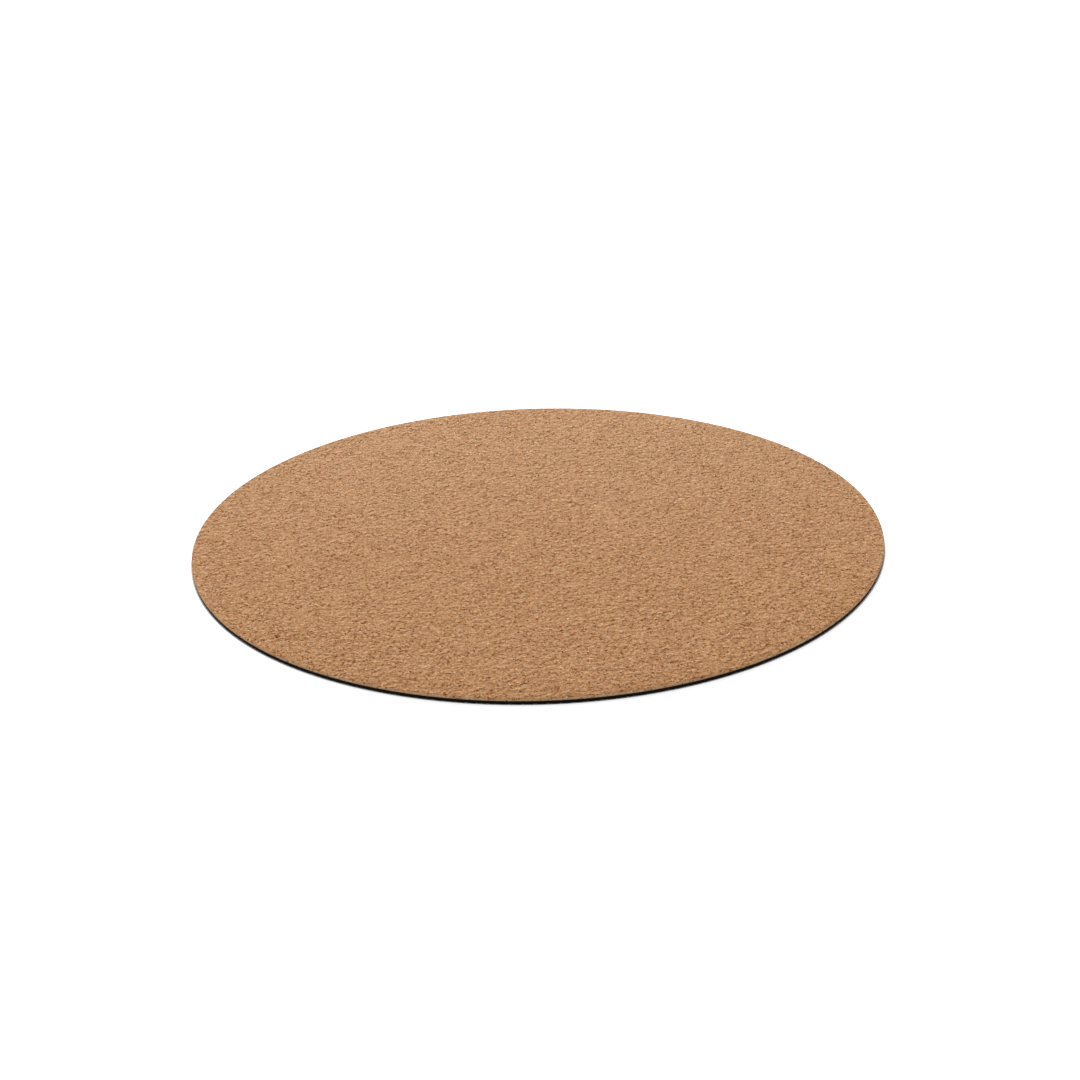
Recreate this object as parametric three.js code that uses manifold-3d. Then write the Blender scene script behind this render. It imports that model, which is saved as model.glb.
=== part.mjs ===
// A round desk mouse pad: a thin cork sheet glued to a soft rubber base with a moulded grip tread underneath.
// Millimetres, +Z up. The origin is the middle of the underside, on the desk.

import * as THREE from "three";
import { mergeVertices } from "three/addons/utils/BufferGeometryUtils.js";
import Module from "manifold-3d";

const wasm = await Module();
wasm.setup();

// The round outline that one die cuts through every layer
const padDiameter = 220;
const rimSegments = 160;

// Thickness of each layer, from the desk up
const rubberThickness = 1.12;
const filmThickness = 0.08;
const corkThickness = 0.8;

// Cork sheet: its upper edge is sanded to a small round
const corkEdgeRadius = 0.2;
const corkEdgeSteps = 3;

// Rubber base: the die draws its lower edge in as it leaves the soft rubber, so the cut face curves under
const rimDrawIn = 0.15;
const rimCurveSteps = 2;

// Grip tread: V grooves cross at right angles, slantwise to X and Y, and leave square grip faces
const treadPitch = 6.5;
const grooveWidth = 1.1;
const grooveDepth = 0.5;

// How far a shape that only cuts or bounds another runs past it
const overrun = 0.5;

const padRadius = padDiameter / 2;
const filmBottom = rubberThickness;
const corkBottom = filmBottom + filmThickness;
const padTop = corkBottom + corkThickness;

// A solid turned about +Z from a profile of [radius, height] points that starts and ends on the axis
function turned(profile) {
  const points = profile.map(([radius, height]) => new THREE.Vector2(radius, height));
  return new THREE.LatheGeometry(points, rimSegments).rotateX(Math.PI / 2);
}

// A closed geometry as a solid that can be cut
function solidOf(geometry) {
  const bare = geometry.clone();
  bare.deleteAttribute("normal");
  bare.deleteAttribute("uv");
  const merged = mergeVertices(bare);
  return new wasm.Manifold(
    new wasm.Mesh({
      numProp: 3,
      vertProperties: merged.attributes.position.array,
      triVerts: new Uint32Array(merged.index.array),
    }),
  );
}

// A cut solid as a geometry again
function geometryOf(solid) {
  const mesh = solid.getMesh();
  const geometry = new THREE.BufferGeometry();
  geometry.setAttribute("position", new THREE.BufferAttribute(mesh.vertProperties, mesh.numProp));
  geometry.setIndex(new THREE.BufferAttribute(mesh.triVerts, 1));
  geometry.computeVertexNormals();
  return geometry;
}

// The cork sheet: square at its glued face, and rounded a little at the face that the hand meets
function corkSheet() {
  const profile = [
    [0, corkBottom],
    [padRadius, corkBottom],
  ];
  for (let step = 0; step <= corkEdgeSteps; step++) {
    const turn = (step / corkEdgeSteps) * (Math.PI / 2);
    profile.push([
      padRadius - corkEdgeRadius + corkEdgeRadius * Math.cos(turn),
      padTop - corkEdgeRadius + corkEdgeRadius * Math.sin(turn),
    ]);
  }
  profile.push([0, padTop]);
  return turned(profile);
}

// The adhesive film: an even layer between the two sheets, cut flush with them
function adhesiveFilm() {
  return turned([
    [0, filmBottom],
    [padRadius, filmBottom],
    [padRadius, corkBottom],
    [0, corkBottom],
  ]);
}

// The rubber disc before the tread is moulded: its lowest stretch runs straight on below the desk
function rubberBlank() {
  const rim = [];
  for (let step = 0; step <= rimCurveSteps; step++) {
    const heightShare = step / rimCurveSteps;
    const drawnShare = 1 - Math.sin((Math.PI / 2) * heightShare);
    rim.push([padRadius - rimDrawIn * drawnShare, rubberThickness * heightShare]);
  }
  const [foot, knee] = rim;
  const runOnShare = overrun / (knee[1] - foot[1]);
  rim[0] = [THREE.MathUtils.lerp(foot[0], knee[0], -runOnShare), -overrun];
  return turned([[0, -overrun], ...rim, [0, rubberThickness]]);
}

// A square slab, wider and higher than the disc, whose underside is the tread
function treadSlab() {
  const cellsEachSide = Math.ceil((padRadius + overrun) / treadPitch);
  const cells = 2 * cellsEachSide + 1;
  const slabTop = rubberThickness + overrun;
  const positions = [];
  const triangles = [];

  // Columns and rows count cells from the slab's corner, and the middle cell's grip face is over the origin
  const addPoint = (column, row, height) => {
    positions.push((column - cells / 2) * treadPitch, (row - cells / 2) * treadPitch, height);
    return positions.length / 3 - 1;
  };

  // Where two grooves cross, their deepest lines meet in one point
  const crossings = [];
  for (let row = 0; row <= cells; row++) {
    crossings.push([]);
    for (let column = 0; column <= cells; column++) {
      crossings[row].push(addPoint(column, row, grooveDepth));
    }
  }

  // In each cell a flat square at desk height, and four groove walls that slope up from its sides
  const marginShare = grooveWidth / 2 / treadPitch;
  const aroundCell = [
    [0, 0],
    [0, 1],
    [1, 1],
    [1, 0],
  ];
  for (let row = 0; row < cells; row++) {
    for (let column = 0; column < cells; column++) {
      const outer = aroundCell.map(([right, up]) => crossings[row + up][column + right]);
      const inner = aroundCell.map(([right, up]) =>
        addPoint(
          column + THREE.MathUtils.lerp(marginShare, 1 - marginShare, right),
          row + THREE.MathUtils.lerp(marginShare, 1 - marginShare, up),
          0,
        ),
      );
      triangles.push([inner[0], inner[1], inner[2]], [inner[0], inner[2], inner[3]]);
      aroundCell.forEach((_, side) => {
        const next = (side + 1) % aroundCell.length;
        triangles.push([outer[side], outer[next], inner[next]], [outer[side], inner[next], inner[side]]);
      });
    }
  }

  // The slab's outline, anticlockwise from above, with its upright sides and its top
  const sides = [
    (step) => [step, 0],
    (step) => [cells, step],
    (step) => [cells - step, cells],
    (step) => [0, cells - step],
  ];
  const outline = [];
  for (const side of sides) {
    for (let step = 0; step < cells; step++) {
      outline.push(side(step));
    }
  }
  const lower = outline.map(([column, row]) => crossings[row][column]);
  const upper = outline.map(([column, row]) => addPoint(column, row, slabTop));
  const topMiddle = addPoint(cells / 2, cells / 2, slabTop);
  outline.forEach((_, here) => {
    const next = (here + 1) % outline.length;
    triangles.push([lower[here], lower[next], upper[next]], [lower[here], upper[next], upper[here]]);
    triangles.push([upper[here], upper[next], topMiddle]);
  });

  const geometry = new THREE.BufferGeometry();
  geometry.setAttribute("position", new THREE.Float32BufferAttribute(positions, 3));
  geometry.setIndex(triangles.flat());
  return geometry.rotateZ(Math.PI / 4);
}

// The rubber base: what the disc and the slab have in common, so the round cut runs through the tread
function rubberBase() {
  return geometryOf(solidOf(rubberBlank()).intersect(solidOf(treadSlab())));
}

const cork = new THREE.MeshStandardMaterial({ color: 0xb98d67, roughness: 0.9, metalness: 0 });
const adhesive = new THREE.MeshStandardMaterial({ color: 0xcbbd9a, roughness: 0.5, metalness: 0 });
const rubber = new THREE.MeshStandardMaterial({ color: 0x1b1b1d, roughness: 0.85, metalness: 0 });

const pad = new THREE.Group();

function addPiece(name, geometry, material) {
  const piece = new THREE.Mesh(geometry, material);
  piece.name = name;
  pad.add(piece);
}

addPiece("rubber_base", rubberBase(), rubber);
addPiece("adhesive_film", adhesiveFilm(), adhesive);
addPiece("cork_sheet", corkSheet(), cork);

export default pad;
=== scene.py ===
import math

import bpy
import numpy as np
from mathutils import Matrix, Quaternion, Vector, noise


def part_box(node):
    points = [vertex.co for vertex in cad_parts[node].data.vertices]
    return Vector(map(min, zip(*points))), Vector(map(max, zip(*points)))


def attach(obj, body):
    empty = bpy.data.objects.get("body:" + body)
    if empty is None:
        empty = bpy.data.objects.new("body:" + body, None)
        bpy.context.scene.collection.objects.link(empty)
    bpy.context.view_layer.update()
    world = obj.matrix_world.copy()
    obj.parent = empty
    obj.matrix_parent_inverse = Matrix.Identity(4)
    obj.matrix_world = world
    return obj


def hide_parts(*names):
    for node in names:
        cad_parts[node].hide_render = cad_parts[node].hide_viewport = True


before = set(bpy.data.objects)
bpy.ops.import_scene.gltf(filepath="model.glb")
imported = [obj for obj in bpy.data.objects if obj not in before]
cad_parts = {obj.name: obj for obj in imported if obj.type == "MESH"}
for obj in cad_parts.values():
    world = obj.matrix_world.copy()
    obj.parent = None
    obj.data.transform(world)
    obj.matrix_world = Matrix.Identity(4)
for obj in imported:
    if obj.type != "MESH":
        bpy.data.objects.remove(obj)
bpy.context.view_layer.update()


# The camera: a long lens, a little above the desk, square to the front of the pad.
# It is turned slightly about its own line of sight, so the right side of the pad sits a touch higher.
millimetre = 0.001
camera_elevation = math.radians(24.62)
camera_distance = 769 * millimetre
camera_roll = math.radians(-1.67)
camera_aim = Vector((0.8 * millimetre, 0, 0))
sensor_width_mm = 36
lens_mm = 80

camera_data = bpy.data.cameras.new("camera")
camera_data.sensor_width = sensor_width_mm
camera_data.lens = lens_mm
camera = bpy.data.objects.new("camera", camera_data)
towards_camera = Vector((0, -math.cos(camera_elevation), math.sin(camera_elevation)))
camera.location = camera_aim + camera_distance * towards_camera
camera.rotation_mode = "QUATERNION"
upright = (-towards_camera).to_track_quat("-Z", "Y")
camera.rotation_quaternion = upright @ Quaternion((0, 0, 1), camera_roll)
bpy.context.scene.collection.objects.link(camera)
bpy.context.scene.camera = camera
bpy.context.scene.view_settings.view_transform = "Standard"


# The desk: a wide, plain white table top. It is pale in itself, and what the camera, gloss or glass sees of
# it is topped up to white, so that only the pad's soft shadow shows on it.
pad_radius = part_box("rubber_base")[1].x
desk_radius = 6.0
desk_segments = 96
desk_white = (0.87, 0.87, 0.87, 1)
desk_top_up = 0.62
top_up_from = pad_radius + 0.3 * millimetre


def add_node(tree, kind, inputs=None, **settings):
    """A shader node with its settings, and with a value or a link in each input that is named."""
    made = tree.nodes.new("ShaderNode" + kind)
    for name, value in settings.items():
        setattr(made, name, value)
    for name, value in (inputs or {}).items():
        if isinstance(value, bpy.types.NodeSocket):
            tree.links.new(value, made.inputs[name])
        else:
            made.inputs[name].default_value = value
    return made


def calculate(tree, operation, *values):
    """The result of a maths node on values and outputs."""
    return add_node(tree, "Math", dict(enumerate(values)), operation=operation).outputs[0]


def calculate_vector(tree, operation, inputs):
    """The results of a vector maths node: Vector, and Value for a length or a dot product."""
    return add_node(tree, "VectorMath", inputs, operation=operation).outputs


def empty_material(name):
    """A material with only its output node, and that node."""
    material = bpy.data.materials.new(name)
    material.use_nodes = True
    material.node_tree.nodes.clear()
    return material, add_node(material.node_tree, "OutputMaterial")


def seen_directly(tree):
    """1 for a ray from the camera or a reflection, and 0 for the rays that carry light to the pad."""
    ray = add_node(tree, "LightPath").outputs
    seen = calculate(tree, "ADD", ray["Is Camera Ray"], ray["Is Glossy Ray"])
    seen = calculate(tree, "ADD", seen, ray["Is Transmission Ray"])
    return calculate(tree, "MINIMUM", seen, 1.0)


def desk_material():
    """White paint, with the glow that tops it up everywhere but under the pad."""
    material, output = empty_material("desk_white")
    tree = material.node_tree
    paint = add_node(tree, "BsdfDiffuse", {"Color": desk_white})
    place = add_node(tree, "TexCoord").outputs["Object"]
    from_middle = calculate_vector(tree, "LENGTH", {0: place})["Value"]
    open_floor = calculate(tree, "GREATER_THAN", from_middle, top_up_from)
    strength = calculate(tree, "MULTIPLY", seen_directly(tree), open_floor)
    strength = calculate(tree, "MULTIPLY", strength, desk_top_up)
    glow = add_node(tree, "Emission", {"Strength": strength})
    both = add_node(tree, "AddShader", {0: paint.outputs[0], 1: glow.outputs[0]})
    tree.links.new(both.outputs[0], output.inputs["Surface"])
    return material


def even_turns(segments):
    """The turns that part a circle evenly."""
    return np.linspace(0, 2 * np.pi, segments, endpoint=False)


def ring(radius, height, turns):
    """The points of a level ring at these turns, anticlockwise from above. Each may have its own radius."""
    return np.stack([radius * np.cos(turns), radius * np.sin(turns), np.full(len(turns), height)], 1)


def mesh_piece(name, points, faces, material):
    """An object with a mesh of these points, faces and material."""
    mesh = bpy.data.meshes.new(name)
    mesh.from_pydata(points, [], faces)
    mesh.materials.append(material)
    piece = bpy.data.objects.new(name, mesh)
    bpy.context.scene.collection.objects.link(piece)
    return piece


desk_rim = ring(desk_radius, 0.0, even_turns(desk_segments))
desk = mesh_piece("desk_top", desk_rim, [range(desk_segments)], desk_material())


# The light: an even white room, and one wide soft lamp behind the pad, a little to the left, which shows the
# grain of the cork in relief and lays a thin shadow along the pad's right front. Together they light a flat
# surface at the level at which a colour shows as it is written.
room_level = 0.42
lamp_level = 0.53
lamp_size = 1.25
lamp_distance = 2.4
lamp_elevation = math.radians(40)
lamp_azimuth = math.radians(106)


def spread(tree, value, low, high):
    """A value that runs from 0 to 1 as one that runs from low to high."""
    return add_node(tree, "MapRange", {"Value": value, "To Min": low, "To Max": high}).outputs[0]


world = bpy.data.worlds.new("room")
bpy.context.scene.world = world
world.use_nodes = True
room = world.node_tree
room.nodes.clear()
room_strength = spread(room, seen_directly(room), room_level, 1.0)
room_glow = add_node(room, "Background", {"Color": (1, 1, 1, 1), "Strength": room_strength})
room_output = add_node(room, "OutputWorld")
room.links.new(room_glow.outputs[0], room_output.inputs["Surface"])

lamp_data = bpy.data.lights.new("soft_lamp", "AREA")
lamp_data.shape = "DISK"
lamp_data.size = lamp_size
lamp_data.energy = lamp_level * 4 * math.pi * lamp_distance**2 / math.sin(lamp_elevation)
lamp = bpy.data.objects.new("soft_lamp", lamp_data)
towards_lamp = Vector(
    (
        math.cos(lamp_elevation) * math.cos(lamp_azimuth),
        math.cos(lamp_elevation) * math.sin(lamp_azimuth),
        math.sin(lamp_elevation),
    )
)
lamp.location = lamp_distance * towards_lamp
lamp.rotation_mode = "QUATERNION"
lamp.rotation_quaternion = (-towards_lamp).to_track_quat("-Z", "Y")
bpy.context.scene.collection.objects.link(lamp)


# The rubber base: a sheet of soft black sponge rubber, which is the pad's body and keeps it from sliding.
# A fine lattice of grooves is moulded into its underside, and the die that cuts the pad leaves a clean,
# finely pored rim that is drawn in a little where the blade came out.
rubber_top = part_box("rubber_base")[1].z
tread_pitch = 2.5 * millimetre
groove_width = 0.7 * millimetre
groove_depth = 0.22 * millimetre
land_edge = 0.2 * millimetre
land_drop = 0.03 * millimetre
rim_draw_in = 0.15 * millimetre
rim_segments = 900
rim_turns = even_turns(rim_segments)
rubber_rim_steps = 8
overrun = 0.5 * millimetre

# Painted shade: the grooves of the tread are coloured near black.
groove_painted_shade = (0.008, 0.008, 0.009, 1)
groove_shade_share = 0.5
skin_colour = (0.024, 0.024, 0.026, 1)
skin_pale_colour = (0.042, 0.042, 0.045, 1)
skin_grain = 0.22 * millimetre
skin_pores = 0.03 * millimetre
skin_gloss = 0.3
sponge_colour = (0.0050, 0.0045, 0.0045, 1)
sponge_pale_colour = (0.0105, 0.0095, 0.0090, 1)
sponge_grain = 0.14 * millimetre
sponge_pores = 0.06 * millimetre
sponge_gloss = 0.06
rubber_tone_range = (0.35, 0.65)
rubber_roughness_range = (0.62, 0.86)
fine_grain_share = 0.5
fine_grain_detail = 3.0

# The waves of a field of noise: how many lie along a metre, and how much detail they carry
rubber_cloud_waves = (90.0, 4.0)


def wall_faces(upper, lower):
    """The faces between two rings of points, the upper one first, with their outsides out."""
    return [
        (upper[here - 1], lower[here - 1], lower[here], upper[here])
        for here in range(len(upper))
    ]


def fan_faces(middle, around):
    """A cap from a middle point to a ring that runs anticlockwise as the cap is seen from outside."""
    return [(middle, around[here - 1], around[here]) for here in range(len(around))]


def rubber_blank(material):
    """The round sheet before the tread, from a little below the desk to the glued face."""
    profile = []
    for step in range(rubber_rim_steps + 1):
        height_share = step / rubber_rim_steps
        drawn_share = 1 - math.sin(math.pi / 2 * height_share)
        profile.append((pad_radius - rim_draw_in * drawn_share, rubber_top * height_share))
    (foot_radius, foot), (knee_radius, knee) = profile[:2]
    slope = (knee_radius - foot_radius) / (knee - foot)
    profile[0] = (foot_radius - slope * overrun, -overrun)
    points = np.concatenate([ring(radius, height, rim_turns) for radius, height in profile])
    rows = np.arange(len(points)).reshape(len(profile), len(rim_turns)).tolist()
    points = np.concatenate([points, [(0, 0, -overrun), (0, 0, rubber_top)]])
    faces = fan_faces(len(points) - 2, rows[0][::-1]) + fan_faces(len(points) - 1, rows[-1])
    for lower, upper in zip(rows, rows[1:]):
        faces += wall_faces(upper, lower)
    return mesh_piece("rubber_blank", points, faces, material)


def tread_slab(material):
    """A square slab, wider and higher than the sheet, whose underside is the tread."""
    reach = math.ceil((pad_radius + overrun) / tread_pitch)
    cells = 2 * reach + 1
    margin_share = groove_width / 2 / tread_pitch
    inset_share = margin_share + land_edge / tread_pitch
    top = rubber_top + overrun
    around = [(0, 0), (0, 1), (1, 1), (1, 0)]
    points = []
    faces = []

    def add_point(column, row, height):
        points.append(((column - cells / 2) * tread_pitch, (row - cells / 2) * tread_pitch, height))
        return len(points) - 1

    crossings = [
        [add_point(column, row, groove_depth) for column in range(cells + 1)]
        for row in range(cells + 1)
    ]
    for row in range(cells):
        for column in range(cells):
            rings = [[crossings[row + up][column + right] for right, up in around]]
            for share, height in ((margin_share, land_drop), (inset_share, 0.0)):
                rings.append(
                    [
                        add_point(
                            column + share + (1 - 2 * share) * right,
                            row + share + (1 - 2 * share) * up,
                            height,
                        )
                        for right, up in around
                    ]
                )
            faces.append(rings[-1])
            for outer, inner in zip(rings, rings[1:]):
                faces += [
                    (outer[side - 1], outer[side], inner[side], inner[side - 1])
                    for side in range(len(around))
                ]
    corner_walks = [
        [(0, step) for step in range(cells)],
        [(step, cells) for step in range(cells)],
        [(cells, cells - step) for step in range(cells)],
        [(cells - step, 0) for step in range(cells)],
    ]
    outline = [(row, column) for walk in corner_walks for row, column in walk]
    lower = [crossings[row][column] for row, column in outline]
    upper = [add_point(column, row, top) for row, column in outline]
    middle = add_point(cells / 2, cells / 2, top)
    faces += wall_faces(upper, lower) + fan_faces(middle, upper)
    slab = mesh_piece("tread_slab", points, faces, material)
    slab.rotation_euler.z = math.pi / 4
    return slab


def keep_common(piece, other):
    """Cut the piece down to what it shares with the other, whose faces bring their material along."""
    common = piece.modifiers.new("common", "BOOLEAN")
    common.operation = "INTERSECT"
    common.solver = "MANIFOLD"
    common.material_mode = "TRANSFER"
    common.object = other
    bpy.context.view_layer.update()
    shown = piece.evaluated_get(bpy.context.evaluated_depsgraph_get())
    mesh = bpy.data.meshes.new_from_object(shown)
    piece.modifiers.clear()
    piece.data = mesh
    bpy.data.objects.remove(other)


def grain_group(name, inputs):
    """A shader node group that puts out a colour, a roughness and a normal, and what is given to it."""
    group = bpy.data.node_groups.new(name, "ShaderNodeTree")
    outputs = {"Color": "Color", "Roughness": "Float", "Normal": "Vector"}
    for direction, sockets in (("INPUT", inputs), ("OUTPUT", outputs)):
        for socket, kind in sockets.items():
            group.interface.new_socket(socket, in_out=direction, socket_type="NodeSocket" + kind)
    return group, group.nodes.new("NodeGroupInput").outputs


def put_out(group, colour, roughness, relief, height):
    """Link a grain group's results. Its normal is that of a height, with the relief as its full depth."""
    results = group.nodes.new("NodeGroupOutput")
    normal = add_node(group, "Bump", {"Distance": relief, "Height": height}).outputs[0]
    for name, value in {"Color": colour, "Roughness": roughness, "Normal": normal}.items():
        group.links.new(value, results.inputs[name])


def noise_field(tree, place, scale, detail, roughness=0.5):
    """A field that is uneven about 0.5, with that many waves to a unit. Fac is one value, Color is three."""
    inputs = {"Vector": place, "Scale": scale, "Detail": detail, "Roughness": roughness}
    return add_node(tree, "TexNoise", inputs).outputs


def between(tree, value, low, high):
    """How far a value is from low to high, eased at both ends. High may be the smaller."""
    return add_node(
        tree,
        "MapRange",
        {"Value": value, "From Min": low, "From Max": high},
        interpolation_type="SMOOTHSTEP",
    ).outputs[0]


def mixed(tree, share, first, second):
    """The second colour over the first, by that share."""
    return add_node(tree, "Mix", {0: share, 6: first, 7: second}, data_type="RGBA").outputs[2]


def rubber_grain_group():
    """The close, slightly cloudy grain of soft rubber."""
    group, given = grain_group(
        "rubber_grain",
        {"Place": "Vector", "Grain": "Float", "Pores": "Float", "Dark": "Color", "Pale": "Color"},
    )
    place = given["Place"]
    per_grain = calculate(group, "DIVIDE", 1.0, given["Grain"])
    finer = calculate(group, "DIVIDE", per_grain, fine_grain_share)
    cloud = noise_field(group, place, *rubber_cloud_waves)["Fac"]
    pores = add_node(group, "TexVoronoi", {"Vector": place, "Scale": per_grain}).outputs["Distance"]
    fine = noise_field(group, place, finer, fine_grain_detail)["Fac"]
    tone = calculate(group, "DIVIDE", calculate(group, "ADD", cloud, fine), 2.0)
    low, high = rubber_tone_range
    tone = add_node(group, "MapRange", {"Value": tone, "From Min": low, "From Max": high}).outputs[0]
    colour = mixed(group, tone, given["Dark"], given["Pale"])
    roughness = spread(group, fine, *rubber_roughness_range)
    put_out(group, colour, roughness, given["Pores"], calculate(group, "ADD", pores, fine))
    return group


def add_surface(tree, output, colour, grain, gloss):
    """A plain surface with this colour and gloss, and with the roughness and relief of a grain."""
    surface = add_node(
        tree,
        "BsdfPrincipled",
        {
            "Base Color": colour,
            "Roughness": grain["Roughness"],
            "Specular IOR Level": gloss,
            "Normal": grain["Normal"],
        },
    )
    tree.links.new(surface.outputs[0], output.inputs["Surface"])


def moulded_skin_material():
    """The moulded skin: painted shade makes the grooves deep black, and the faces that meet the desk carry a
    grain from dark to pale.
    """
    material, output = empty_material("moulded_rubber_skin")
    tree = material.node_tree
    place = add_node(tree, "TexCoord").outputs["Object"]
    grain = add_node(
        tree,
        "Group",
        {
            "Place": place,
            "Grain": skin_grain,
            "Pores": skin_pores,
            "Dark": skin_colour,
            "Pale": skin_pale_colour,
        },
        node_tree=rubber_grain,
    ).outputs
    height = add_node(tree, "SeparateXYZ", {0: place}).outputs["Z"]
    grip_face = between(tree, height, groove_shade_share * groove_depth, land_drop)
    # Painted shade in the grooves, below the faces that meet the desk.
    colour = mixed(tree, grip_face, groove_painted_shade, grain["Color"])
    add_surface(tree, output, colour, grain, skin_gloss)
    return material


def cut_sponge_material():
    """The rim, where the blade opened the sponge's fine pores."""
    material, output = empty_material("cut_rubber_sponge")
    tree = material.node_tree
    grain = add_node(
        tree,
        "Group",
        {
            "Place": add_node(tree, "TexCoord").outputs["Object"],
            "Grain": sponge_grain,
            "Pores": sponge_pores,
            "Dark": sponge_colour,
            "Pale": sponge_pale_colour,
        },
        node_tree=rubber_grain,
    ).outputs
    add_surface(tree, output, grain["Color"], grain, sponge_gloss)
    return material


rubber_grain = rubber_grain_group()
rubber = rubber_blank(cut_sponge_material())
rubber.name = "rubber_grip_base"
keep_common(rubber, tread_slab(moulded_skin_material()))
rubber.data.shade_smooth()
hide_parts("rubber_base")
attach(rubber, "root")


# The adhesive film: a hot-melt film that was ironed between the two sheets. Only its edge shows, as a hair
# line of dull amber between the cork and the rubber, which stands back a few hundredths of a millimetre.
film_low, film_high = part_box("adhesive_film")
film_waver = 0.03 * millimetre
film_waver_grain = 1.0 * millimetre
film_colour = (0.46, 0.31, 0.17, 1)
film_pale_colour = (0.62, 0.45, 0.28, 1)
film_streak_waves = (700.0, 3.0)
film_roughness_range = (0.4, 0.65)


def film_material():
    """Hot-melt adhesive: dull amber with pale streaks."""
    material, output = empty_material("hot_melt_film")
    tree = material.node_tree
    place = add_node(tree, "TexCoord").outputs["Object"]
    streak = noise_field(tree, place, *film_streak_waves)["Fac"]
    colour = mixed(tree, streak, film_colour, film_pale_colour)
    roughness = spread(tree, streak, *film_roughness_range)
    surface = add_node(tree, "BsdfPrincipled", {"Base Color": colour, "Roughness": roughness})
    tree.links.new(surface.outputs[0], output.inputs["Surface"])
    return material


def adhesive_film():
    """The closed film, with an edge that wavers a little inside the sheets' rims."""
    points = []
    for height in (film_low.z, film_high.z):
        for x, y, z in ring(pad_radius, height, rim_turns):
            inward = film_waver * (1 + noise.noise(Vector((x, y, z)) / film_waver_grain)) / 2
            points.append(Vector((x, y, 0)) * (1 - inward / pad_radius) + Vector((0, 0, z)))
    lower, upper = np.arange(len(points)).reshape(2, len(rim_turns)).tolist()
    points += [Vector((0, 0, film_low.z)), Vector((0, 0, film_high.z))]
    faces = fan_faces(len(points) - 2, lower[::-1]) + fan_faces(len(points) - 1, upper)
    faces += wall_faces(upper, lower)
    return mesh_piece("adhesive_hair_line", points, faces, film_material())


film = adhesive_film()
film.data.shade_smooth()
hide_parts("adhesive_film")
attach(film, "root")


# The cork sheet: granules of cork bark pressed into a block with a binder, and the sheet sliced from it and
# sanded. The face shows cut granules in many tans with dark bark flecks, and the die leaves the sheet's rim
# square, with a granule torn out here and there.
cork_low, cork_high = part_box("cork_sheet")
cork_bottom = cork_low.z
cork_top = cork_high.z
face_steps = 288
face_relief = 0.02 * millimetre
relief_grain = 2.2 * millimetre
relief_smoothness = 1.0
relief_finer_by = 2.0
relief_octaves = 2
edge_round = 0.2 * millimetre
edge_round_steps = 4
cut_wall_steps = 3
torn_depth = 0.18 * millimetre
torn_grain = 1.0 * millimetre
granule = 1.0 * millimetre

cork_gloss = 0.04
cork_roughness_range = (0.72, 0.92)
# Painted sheen: the face is mixed towards a pale colour more and more towards the back.
back_sheen_starts_share = -0.6
most_back_sheen = 0.09
# Painted shade: a band along the front rim of the face is tinted darker.
shaded_rim_band = 12 * millimetre
shaded_rim_reach_shares = (0.35, 0.85)
shaded_side_direction = (0.15, -1.0, 0.0)
rim_shade_tint = (0.95, 0.93, 0.90, 1)
face_look = {
    "Granule": granule,
    "Open Seams": 0.42,
    "Relief": 1.22 * millimetre,
    "Brown": (0.485, 0.228, 0.090, 1),
    "Tan": (0.69, 0.393, 0.205, 1),
    "Cream": (0.80, 0.53, 0.33, 1),
    "Painted Sheen Colour": (0.86, 0.70, 0.52, 1),
    "Bark": (0.31, 0.105, 0.022, 1),
    # Pit: the open seams and small holes, which the relief also sinks; part the dark of the seams, part
    # painted shade in these hollows.
    "Pit": (0.22, 0.048, 0.003, 1),
}
# The cut edge's colours are pale fresh cork, and partly painted light that brightens the rim wall.
cut_edge_look = {
    "Granule": granule,
    "Open Seams": 0.5,
    "Relief": 0.8 * millimetre,
    "Painted Sheen": 0.0,
    "Brown": (0.72, 0.39, 0.18, 1),
    "Tan": (0.87, 0.55, 0.317, 1),
    "Cream": (0.88, 0.64, 0.43, 1),
    "Bark": (0.45, 0.17, 0.05, 1),
    "Pit": (0.40, 0.12, 0.03, 1),
}

# The cells of the pattern: how many of each lie along one granule
large_scale = 0.75
crumb_scale = 1.6
hole_scale = 1.1

# The waves of the fields of noise, here along one granule, and for the cloud along a metre
wander_waves = (1.1, 2.0)
blotch_waves = (1.3, 2.0)
blotch_roughness = 0.6
drift_waves = (0.2, 2.0)
grit_waves = (3.2, 2.5)
ridge_waves = (2.4, 1.0)
swell_waves = (0.52, 1.5)
cork_cloud_waves = (45.0, 3.0)
noise_middle = (0.5, 0.5, 0.5)

# How far the fields reach, where each mask starts and is full, and each field's share in tone and height
wander_reach = 1.1
whole_share = 0.35
bark_lot_from = 0.97
drift_reach = 0.03
rough_range = (0.36, 0.64)
stain_range = (0.605, 0.665)
cream_range = (0.58, 0.64)
seam_range = (0.14, 0.02)
open_seam_range = (0.46, 0.60)
hole_lot_range = (0.86, 0.96)
hole_edge_range = (0.40, 0.20)
dome_range = (0.0, 0.35)
tone_range = (0.50, 2.30)
swell_reach = 0.725
calm_swell_share = 0.65
rough_swell_share = 0.45
# The swell's share in tone is painted shade and light: the hollows of the relief are darker and its rises
# paler.
tone_shares = {"swell": 0.5, "grit": 1.5, "cloud": 0.25}
height_shares = {"ridge": 0.2, "dome": 0.08, "grit": 0.04, "pit": -0.12, "bark": -0.08, "hole": -0.2}


def voronoi(tree, place, scale, feature="F1"):
    """The results of a pattern of cells with a lot drawn for each."""
    return add_node(tree, "TexVoronoi", {"Vector": place, "Scale": scale}, feature=feature).outputs


def lots(tree, colour):
    """The three lots that are drawn as one colour."""
    return add_node(tree, "SeparateColor", {0: colour}).outputs


def centred(tree, field, reach):
    """A field from 0 to 1 as one from minus to plus that reach."""
    return calculate(tree, "MULTIPLY_ADD", field, 2 * reach, -reach)


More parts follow.
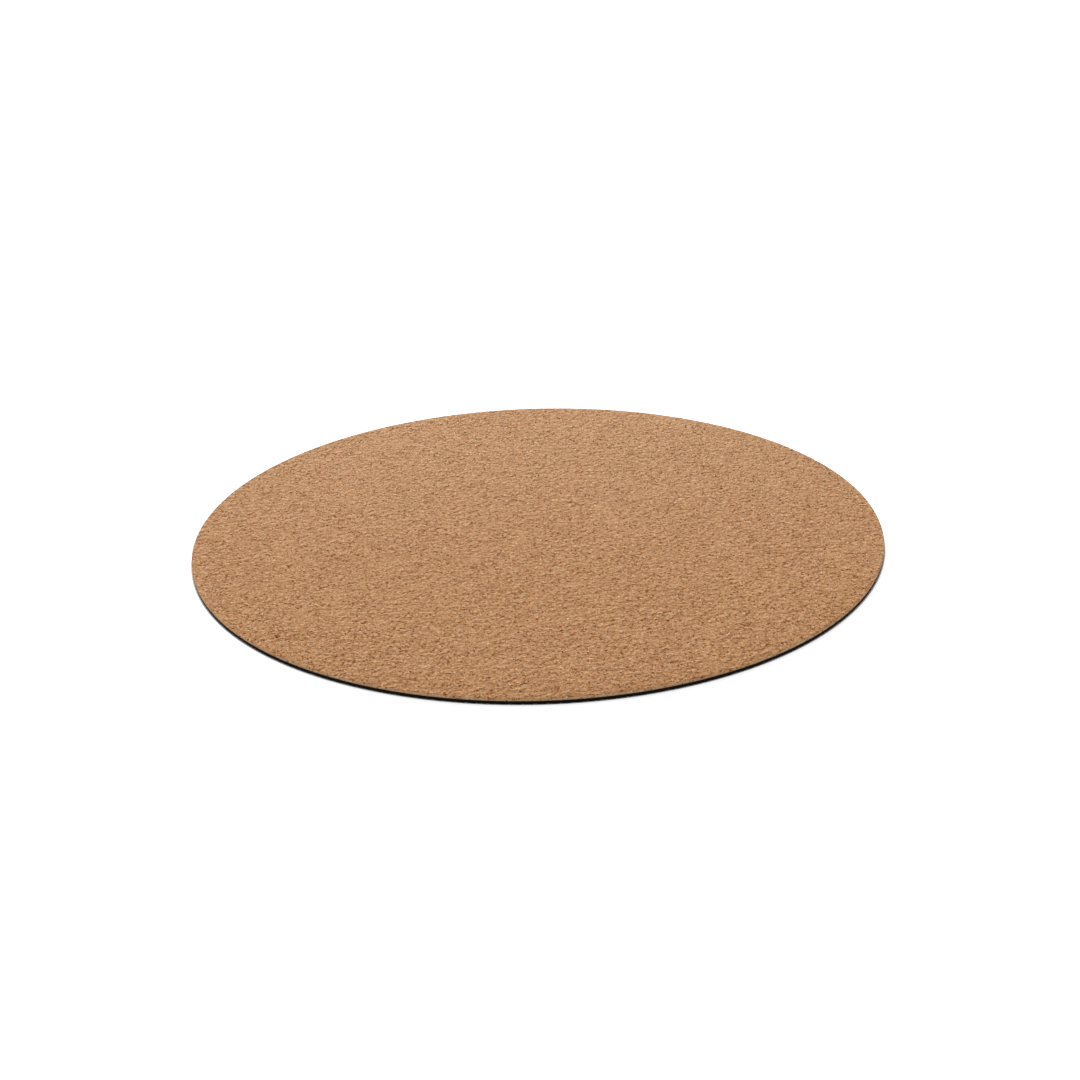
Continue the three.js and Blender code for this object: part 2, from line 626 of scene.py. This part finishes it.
def with_shares(tree, value, fields, shares):
    """The value plus its share of each field that is named in the shares."""
    for name, share in shares.items():
        value = calculate(tree, "MULTIPLY_ADD", fields[name], share, value)
    return value


def bent_place(group, place):
    """The place moved about a little, so that cells drawn there get uneven outlines."""
    wander = noise_field(group, place, *wander_waves)["Color"]
    wander = calculate_vector(group, "SUBTRACT", {0: wander, 1: noise_middle})
    wander = calculate_vector(group, "SCALE", {0: wander["Vector"], "Scale": wander_reach})
    return calculate_vector(group, "ADD", {0: place, 1: wander["Vector"]})["Vector"]


def cork_fields(group, given, place):
    """The granules' tone, the masks of their blemishes, and the unevenness of the sanding, by name."""
    bent = bent_place(group, place)
    large_lots = lots(group, voronoi(group, bent, large_scale)["Color"])
    crumb_lots = lots(group, voronoi(group, bent, crumb_scale)["Color"])
    broken = calculate(group, "GREATER_THAN", large_lots[0], whole_share)
    edge = voronoi(group, bent, crumb_scale, feature="DISTANCE_TO_EDGE")["Distance"]

    drift = noise_field(group, place, *drift_waves)["Fac"]
    drifted = centred(group, drift, drift_reach)
    blotches = noise_field(group, place, *blotch_waves, roughness=blotch_roughness)
    blotches = lots(group, blotches["Color"])
    bark = calculate(group, "GREATER_THAN", crumb_lots[2], bark_lot_from)
    stain = between(group, calculate(group, "ADD", blotches[0], drifted), *stain_range)
    open_seam = between(group, calculate(group, "ADD", blotches[2], drifted), *open_seam_range)
    pit = calculate(group, "MULTIPLY", between(group, edge, *seam_range), open_seam)
    pit = calculate(group, "MULTIPLY", pit, given["Open Seams"])
    cells = voronoi(group, bent, hole_scale)
    hole = calculate(
        group,
        "MULTIPLY",
        between(group, lots(group, cells["Color"])[0], *hole_lot_range),
        between(group, cells["Distance"], *hole_edge_range),
    )
    return {
        "tone": add_node(group, "Mix", {0: broken, 2: large_lots[1], 3: crumb_lots[1]}).outputs[0],
        "bark": calculate(group, "MAXIMUM", bark, stain),
        "cream": between(group, blotches[1], *cream_range),
        "pit": calculate(group, "MAXIMUM", pit, hole),
        "hole": hole,
        "dome": between(group, edge, *dome_range),
        "grit": noise_field(group, place, *grit_waves)["Fac"],
        "ridge": noise_field(group, place, *ridge_waves)["Fac"],
        "swell": centred(group, noise_field(group, place, *swell_waves)["Fac"], swell_reach),
        "rough": between(group, drift, *rough_range),
        "cloud": noise_field(group, given["Place"], *cork_cloud_waves)["Fac"],
    }


def pressed_cork_group():
    """Granules of cork bark pressed together: what a flat cut through them shows at each place."""
    group, given = grain_group(
        "pressed_cork",
        {
            "Place": "Vector",
            "Granule": "Float",
            "Open Seams": "Float",
            "Relief": "Float",
            "Painted Sheen": "Float",
            "Brown": "Color",
            "Tan": "Color",
            "Cream": "Color",
            "Painted Sheen Colour": "Color",
            "Bark": "Color",
            "Pit": "Color",
        },
    )
    per_granule = calculate(group, "DIVIDE", 1.0, given["Granule"])
    place = calculate_vector(group, "SCALE", {0: given["Place"], "Scale": per_granule})["Vector"]
    fields = cork_fields(group, given, place)

    tone = with_shares(group, fields["tone"], fields, tone_shares)
    colour = mixed(group, between(group, tone, *tone_range), given["Brown"], given["Tan"])
    colour = mixed(group, fields["cream"], colour, given["Cream"])
    # Painted sheen: a pale veil mixed into the cork by the share that is given.
    colour = mixed(group, given["Painted Sheen"], colour, given["Painted Sheen Colour"])
    colour = mixed(group, fields["bark"], colour, given["Bark"])
    # Part painted shade: the open seams and holes are darkened with the Pit colour.
    colour = mixed(group, fields["pit"], colour, given["Pit"])

    swell_share = calculate(
        group, "MULTIPLY_ADD", fields["rough"], rough_swell_share, calm_swell_share
    )
    height = calculate(group, "MULTIPLY", fields["swell"], swell_share)
    height = with_shares(group, height, fields, height_shares)
    roughness = spread(group, fields["grit"], *cork_roughness_range)
    put_out(group, colour, roughness, given["Relief"], height)
    return group


def sanded_face_material():
    """The face: paler towards the back with a painted sheen, and darker along the front rim with painted
    shade.
    """
    material, output = empty_material("sanded_cork_face")
    tree = material.node_tree
    place = add_node(tree, "TexCoord").outputs["Object"]
    towards_back = add_node(tree, "SeparateXYZ", {0: place}).outputs["Y"]
    back_sheen = between(tree, towards_back, back_sheen_starts_share * pad_radius, pad_radius)
    back_sheen = calculate(tree, "MULTIPLY", back_sheen, most_back_sheen)
    grain = add_node(
        tree, "Group", {"Place": place, "Painted Sheen": back_sheen, **face_look}, node_tree=pressed_cork
    ).outputs
    from_middle = calculate_vector(tree, "LENGTH", {0: place})["Value"]
    near_rim = between(tree, from_middle, pad_radius - shaded_rim_band, pad_radius)
    towards_shaded_side = calculate_vector(tree, "DOT_PRODUCT", {0: place, 1: shaded_side_direction})["Value"]
    starts, full = (share * pad_radius for share in shaded_rim_reach_shares)
    # Painted shade along the front rim: the mask of the band that is tinted darker.
    rim_shade = calculate(tree, "MULTIPLY", near_rim, between(tree, towards_shaded_side, starts, full))
    colour = add_node(
        tree,
        "Mix",
        {0: rim_shade, 6: grain["Color"], 7: rim_shade_tint},
        data_type="RGBA",
        blend_type="MULTIPLY",
    ).outputs[2]
    add_surface(tree, output, colour, grain, cork_gloss)
    return material


def cut_edge_material():
    """The cut rim: paler than the face, partly as fresh-cut cork and partly as painted light that brightens
    the wall.
    """
    material, output = empty_material("cut_cork_edge")
    tree = material.node_tree
    place = add_node(tree, "TexCoord").outputs["Object"]
    grain = add_node(tree, "Group", {"Place": place, **cut_edge_look}, node_tree=pressed_cork).outputs
    add_surface(tree, output, grain["Color"], grain, cork_gloss)
    return material


def concentric_disc(steps, radius):
    """A square grid drawn out to a disc: its points, row by row, its cells, and its rim anticlockwise."""
    side = np.linspace(-1, 1, steps + 1)
    across, along = np.meshgrid(side, side)
    wide = np.abs(across) >= np.abs(along)
    reach = np.where(wide, across, along)
    other = np.where(wide, along, across)
    turn = np.pi / 4 * np.divide(other, reach, out=np.zeros_like(reach), where=reach != 0)
    x = radius * reach * np.where(wide, np.cos(turn), np.sin(turn))
    y = radius * reach * np.where(wide, np.sin(turn), np.cos(turn))
    index = np.arange((steps + 1) ** 2).reshape(steps + 1, steps + 1)
    cells = np.stack([index[:-1, :-1], index[:-1, 1:], index[1:, 1:], index[1:, :-1]], -1)
    rim = np.concatenate([index[0, :-1], index[:-1, -1], index[-1, :0:-1], index[:0:-1, 0]])
    return x.ravel(), y.ravel(), cells.reshape(-1, 4).tolist(), rim.tolist()


def rim_profile():
    """The radius and height of each ring below the face: the sanded round, then the straight cut."""
    profile = []
    for step in range(1, edge_round_steps + 1):
        turn = math.pi / 2 * step / edge_round_steps
        radius = pad_radius - edge_round * (1 - math.sin(turn))
        profile.append((radius, cork_top - face_relief / 2 - edge_round * (1 - math.cos(turn))))
    wall_top = profile[-1][1]
    for step in range(1, cut_wall_steps + 1):
        profile.append((pad_radius, wall_top + (cork_bottom - wall_top) * step / cut_wall_steps))
    return profile


def cork_sheet():
    """The closed sheet: its uneven face, its rim with the crumbs torn out, and its glued face."""
    x, y, faces, rim = concentric_disc(face_steps, pad_radius - edge_round)
    relief = [
        noise.fractal(
            Vector((*place, 0)) / relief_grain, relief_smoothness, relief_finer_by, relief_octaves
        )
        for place in zip(x, y)
    ]
    z = cork_top - face_relief / 2 + face_relief / 2 * np.clip(relief, -1, 1)
    turns = np.arctan2(y[rim], x[rim])
    blocks = [np.stack([x, y, z], 1)]
    count = len(x)
    above = rim
    for radius, height in rim_profile():
        level = ring(radius, height, turns)
        torn = [torn_depth * max(0.0, noise.noise(Vector(point) / torn_grain)) for point in level]
        blocks.append(ring(radius - np.array(torn), height, turns))
        below = list(range(count, count + len(rim)))
        count += len(rim)
        faces += wall_faces(above, below)
        above = below
    blocks.append(np.array([[0, 0, cork_bottom]]))
    faces += fan_faces(count, above[::-1])
    sheet = mesh_piece("cork_top_sheet", np.concatenate(blocks), faces, sanded_face_material())

    # The face's material reaches halfway down the round, and the cut edge's has the rest
    sheet.data.materials.append(cut_edge_material())
    face_cells = face_steps**2 + edge_round_steps // 2 * len(rim)
    slots = np.zeros(len(faces), int)
    slots[face_cells:] = 1
    sheet.data.polygons.foreach_set("material_index", slots)
    return sheet


pressed_cork = pressed_cork_group()
cork = cork_sheet()
cork.data.shade_smooth()
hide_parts("cork_sheet")
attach(cork, "root")
